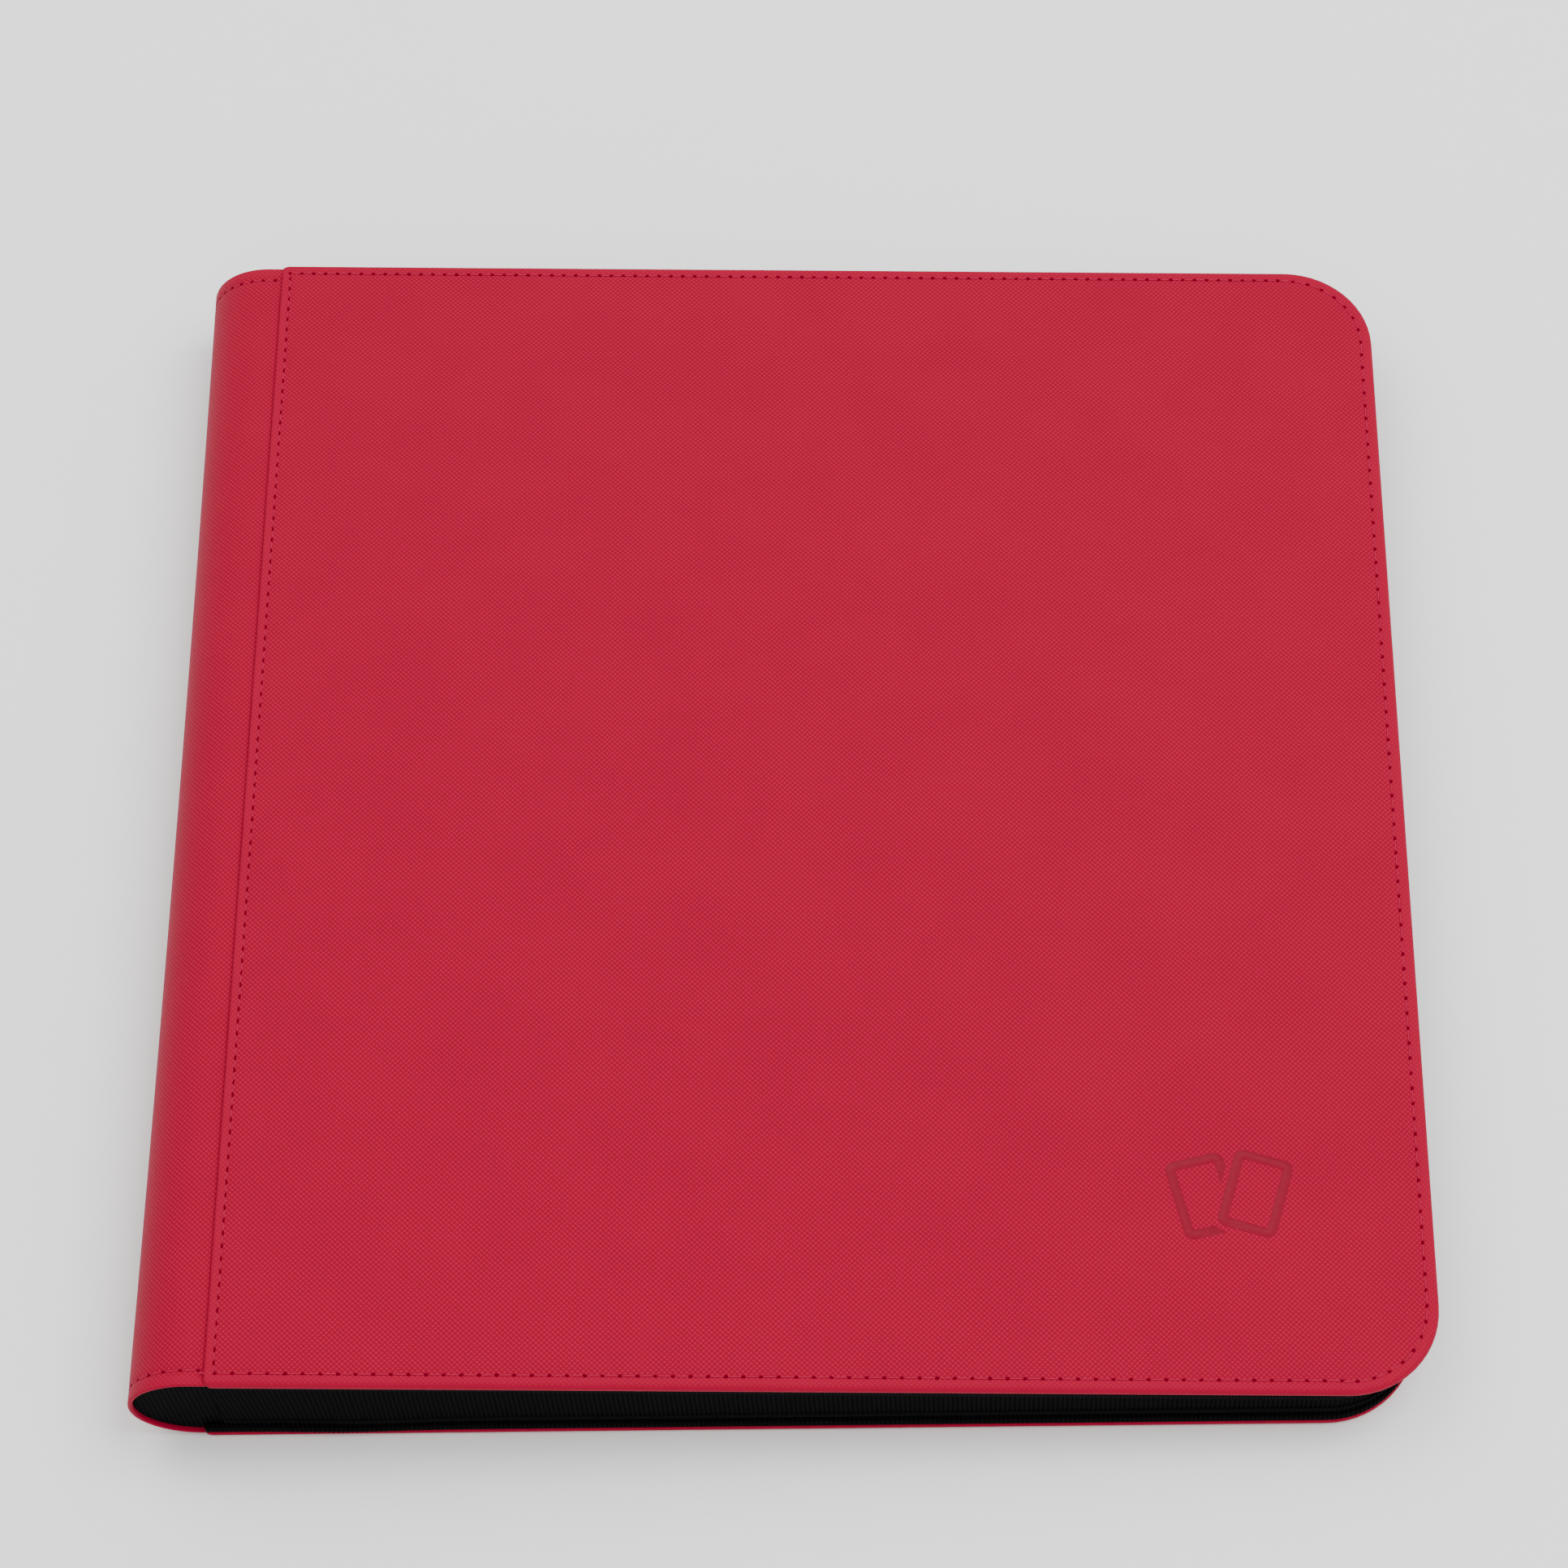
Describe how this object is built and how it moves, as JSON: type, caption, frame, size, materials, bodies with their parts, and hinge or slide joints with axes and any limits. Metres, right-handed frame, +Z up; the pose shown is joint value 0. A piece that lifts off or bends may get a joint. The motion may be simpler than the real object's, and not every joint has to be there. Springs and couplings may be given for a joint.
{
  "type": "trading card binder",
  "caption": "Zip-round trading card binder with two stiff fabric-wrapped covers, a soft rounded spine, a ribbed zip gusset on three sides and side-loading pocket pages.",
  "frame": {"origin": "middle of the back cover's flat underside, on the surface that the shut binder lies on", "axes": "+Z up through the shut binder, +Y along the spine from tail to head, +X from the spine towards the fore-edge"},
  "size_m": [0.3315, 0.3427, 0.0364],
  "materials": {
    "outer_skin": "deep red coated fabric embossed with a fine square weave",
    "lining": "black woven lining",
    "board": "grey-brown pressed board",
    "fleece": "grey needled fleece",
    "zip_tape": "black ribbed zip tape and gusset fabric",
    "zip_teeth": "black nylon coil",
    "stop_metal": "black crimped metal",
    "slider_metal": "black painted die-cast zinc",
    "binding": "black woven binding tape",
    "page_film": "black backing film under clear embossed pocket film"
  },
  "bodies": {
    "back_cover": {"back_skin": "outer_skin", "back_board": "board", "back_interlining": "fleece", "back_lining": "lining", "lower_zip_tape": "zip_tape", "lower_zip_teeth": "zip_teeth", "lower_end_stops": "stop_metal", "spine_skin_back_hem": "outer_skin", "spine_lining_back_hem": "lining"},
    "spine_back_strip": {"spine_skin_back": "outer_skin", "spine_lining_back": "lining"},
    "spine_middle_strip": {"spine_skin_middle": "outer_skin", "spine_lining_middle": "lining", "page_binding": "binding", "tail_end_panel": "zip_tape", "head_end_panel": "zip_tape"},
    "spine_front_strip": {"spine_skin_front": "outer_skin", "spine_lining_front": "lining"},
    "front_cover": {"spine_skin_front_hem": "outer_skin", "spine_lining_front_hem": "lining", "front_skin": "outer_skin", "front_board": "board", "front_interlining": "fleece", "front_lining": "lining", "upper_zip_gusset": "zip_tape", "upper_zip_teeth": "zip_teeth", "upper_end_stops": "stop_metal"},
    "slider": {"zip_slider": "slider_metal"},
    "pull": {"zip_pull": "slider_metal"},
    "page_01": {"page_01": "page_film"},
    "page_02": {"page_02": "page_film"},
    "page_03": {"page_03": "page_film"},
    "page_04": {"page_04": "page_film"},
    "page_05": {"page_05": "page_film"},
    "page_06": {"page_06": "page_film"},
    "page_07": {"page_07": "page_film"},
    "page_08": {"page_08": "page_film"},
    "page_09": {"page_09": "page_film"},
    "page_10": {"page_10": "page_film"},
    "page_11": {"page_11": "page_film"},
    "page_12": {"page_12": "page_film"},
    "page_13": {"page_13": "page_film"},
    "page_14": {"page_14": "page_film"},
    "page_15": {"page_15": "page_film"},
    "page_16": {"page_16": "page_film"},
    "page_17": {"page_17": "page_film"},
    "page_18": {"page_18": "page_film"},
    "page_19": {"page_19": "page_film"},
    "page_20": {"page_20": "page_film"}
  },
  "joints": [
    {"name": "spine_fold_1", "type": "hinge", "parent": "back_cover", "child": "spine_back_strip", "pos_m": [-0.16134, 0, 0.00264], "axis": [0, -1, 0], "range_deg": [0, 45.7]},
    {"name": "spine_fold_2", "type": "hinge", "parent": "spine_back_strip", "child": "spine_middle_strip", "pos_m": [-0.17056, 0, 0.01209], "axis": [0, -1, 0], "range_deg": [0, 46.5]},
    {"name": "spine_fold_3", "type": "hinge", "parent": "spine_middle_strip", "child": "spine_front_strip", "pos_m": [-0.17023, 0, 0.02529], "axis": [0, -1, 0], "range_deg": [0, 46.5]},
    {"name": "spine_fold_4", "type": "hinge", "parent": "spine_front_strip", "child": "front_cover", "pos_m": [-0.16054, 0, 0.03428], "axis": [0, -1, 0], "range_deg": [0, 46.5]},
    {"name": "slider_run", "type": "slide", "parent": "back_cover", "child": "slider", "axis": [1, 0, 0], "range_m": [0, 0.243]},
    {"name": "pull_swing", "type": "hinge", "parent": "slider", "child": "pull", "pos_m": [-0.11823, 0.1711, 0.0072], "axis": [0, 0, -1], "range_deg": [0, 170]},
    {"name": "page_01_turn", "type": "hinge", "parent": "spine_middle_strip", "child": "page_01", "pos_m": [-0.16557, 0, 0.0088], "axis": [0, -1, 0], "range_deg": [-82.8, 0]},
    {"name": "page_02_turn", "type": "hinge", "parent": "spine_middle_strip", "child": "page_02", "pos_m": [-0.16557, 0, 0.0098], "axis": [0, -1, 0], "range_deg": [-74.1, 0]},
    {"name": "page_03_turn", "type": "hinge", "parent": "spine_middle_strip", "child": "page_03", "pos_m": [-0.16557, 0, 0.0108], "axis": [0, -1, 0], "range_deg": [-65.4, 0]},
    {"name": "page_04_turn", "type": "hinge", "parent": "spine_middle_strip", "child": "page_04", "pos_m": [-0.16557, 0, 0.0118], "axis": [0, -1, 0], "range_deg": [-56.7, 0]},
    {"name": "page_05_turn", "type": "hinge", "parent": "spine_middle_strip", "child": "page_05", "pos_m": [-0.16557, 0, 0.0128], "axis": [0, -1, 0], "range_deg": [-48, 0]},
    {"name": "page_06_turn", "type": "hinge", "parent": "spine_middle_strip", "child": "page_06", "pos_m": [-0.16557, 0, 0.0138], "axis": [0, -1, 0], "range_deg": [-39.3, 0]},
    {"name": "page_07_turn", "type": "hinge", "parent": "spine_middle_strip", "child": "page_07", "pos_m": [-0.16557, 0, 0.0148], "axis": [0, -1, 0], "range_deg": [-30.6, 0]},
    {"name": "page_08_turn", "type": "hinge", "parent": "spine_middle_strip", "child": "page_08", "pos_m": [-0.16557, 0, 0.0158], "axis": [0, -1, 0], "range_deg": [-21.9, 0]},
    {"name": "page_09_turn", "type": "hinge", "parent": "spine_middle_strip", "child": "page_09", "pos_m": [-0.16557, 0, 0.0168], "axis": [0, -1, 0], "range_deg": [-13.2, 0]},
    {"name": "page_10_turn", "type": "hinge", "parent": "spine_middle_strip", "child": "page_10", "pos_m": [-0.16557, 0, 0.0178], "axis": [0, -1, 0], "range_deg": [-4.5, 0]},
    {"name": "page_11_turn", "type": "hinge", "parent": "spine_middle_strip", "child": "page_11", "pos_m": [-0.16557, 0, 0.0188], "axis": [0, -1, 0], "range_deg": [0, 4.5]},
    {"name": "page_12_turn", "type": "hinge", "parent": "spine_middle_strip", "child": "page_12", "pos_m": [-0.16557, 0, 0.0198], "axis": [0, -1, 0], "range_deg": [0, 13.2]},
    {"name": "page_13_turn", "type": "hinge", "parent": "spine_middle_strip", "child": "page_13", "pos_m": [-0.16557, 0, 0.0208], "axis": [0, -1, 0], "range_deg": [0, 21.9]},
    {"name": "page_14_turn", "type": "hinge", "parent": "spine_middle_strip", "child": "page_14", "pos_m": [-0.16557, 0, 0.0218], "axis": [0, -1, 0], "range_deg": [0, 30.6]},
    {"name": "page_15_turn", "type": "hinge", "parent": "spine_middle_strip", "child": "page_15", "pos_m": [-0.16557, 0, 0.0228], "axis": [0, -1, 0], "range_deg": [0, 39.3]},
    {"name": "page_16_turn", "type": "hinge", "parent": "spine_middle_strip", "child": "page_16", "pos_m": [-0.16557, 0, 0.0238], "axis": [0, -1, 0], "range_deg": [0, 48]},
    {"name": "page_17_turn", "type": "hinge", "parent": "spine_middle_strip", "child": "page_17", "pos_m": [-0.16557, 0, 0.0248], "axis": [0, -1, 0], "range_deg": [0, 56.7]},
    {"name": "page_18_turn", "type": "hinge", "parent": "spine_middle_strip", "child": "page_18", "pos_m": [-0.16557, 0, 0.0258], "axis": [0, -1, 0], "range_deg": [0, 65.4]},
    {"name": "page_19_turn", "type": "hinge", "parent": "spine_middle_strip", "child": "page_19", "pos_m": [-0.16557, 0, 0.0268], "axis": [0, -1, 0], "range_deg": [0, 74.1]},
    {"name": "page_20_turn", "type": "hinge", "parent": "spine_middle_strip", "child": "page_20", "pos_m": [-0.16557, 0, 0.0278], "axis": [0, -1, 0], "range_deg": [0, 82.8]}
  ],
  "couplings": [
    {"joint": "spine_fold_2", "follows": "spine_fold_1", "ratio": 1},
    {"joint": "spine_fold_3", "follows": "spine_fold_1", "ratio": 1},
    {"joint": "spine_fold_4", "follows": "spine_fold_1", "ratio": 1},
    {"joint": "page_01_turn", "follows": "spine_fold_1", "ratio": -1.8095},
    {"joint": "page_02_turn", "follows": "spine_fold_1", "ratio": -1.6191},
    {"joint": "page_03_turn", "follows": "spine_fold_1", "ratio": -1.4286},
    {"joint": "page_04_turn", "follows": "spine_fold_1", "ratio": -1.2381},
    {"joint": "page_05_turn", "follows": "spine_fold_1", "ratio": -1.0476},
    {"joint": "page_06_turn", "follows": "spine_fold_1", "ratio": -0.85714},
    {"joint": "page_07_turn", "follows": "spine_fold_1", "ratio": -0.66667},
    {"joint": "page_08_turn", "follows": "spine_fold_1", "ratio": -0.47619},
    {"joint": "page_09_turn", "follows": "spine_fold_1", "ratio": -0.28571},
    {"joint": "page_10_turn", "follows": "spine_fold_1", "ratio": -0.09524},
    {"joint": "page_11_turn", "follows": "spine_fold_1", "ratio": 0.09524},
    {"joint": "page_12_turn", "follows": "spine_fold_1", "ratio": 0.28571},
    {"joint": "page_13_turn", "follows": "spine_fold_1", "ratio": 0.47619},
    {"joint": "page_14_turn", "follows": "spine_fold_1", "ratio": 0.66667},
    {"joint": "page_15_turn", "follows": "spine_fold_1", "ratio": 0.85714},
    {"joint": "page_16_turn", "follows": "spine_fold_1", "ratio": 1.0476},
    {"joint": "page_17_turn", "follows": "spine_fold_1", "ratio": 1.2381},
    {"joint": "page_18_turn", "follows": "spine_fold_1", "ratio": 1.4286},
    {"joint": "page_19_turn", "follows": "spine_fold_1", "ratio": 1.6191},
    {"joint": "page_20_turn", "follows": "spine_fold_1", "ratio": 1.8095}
  ]
}
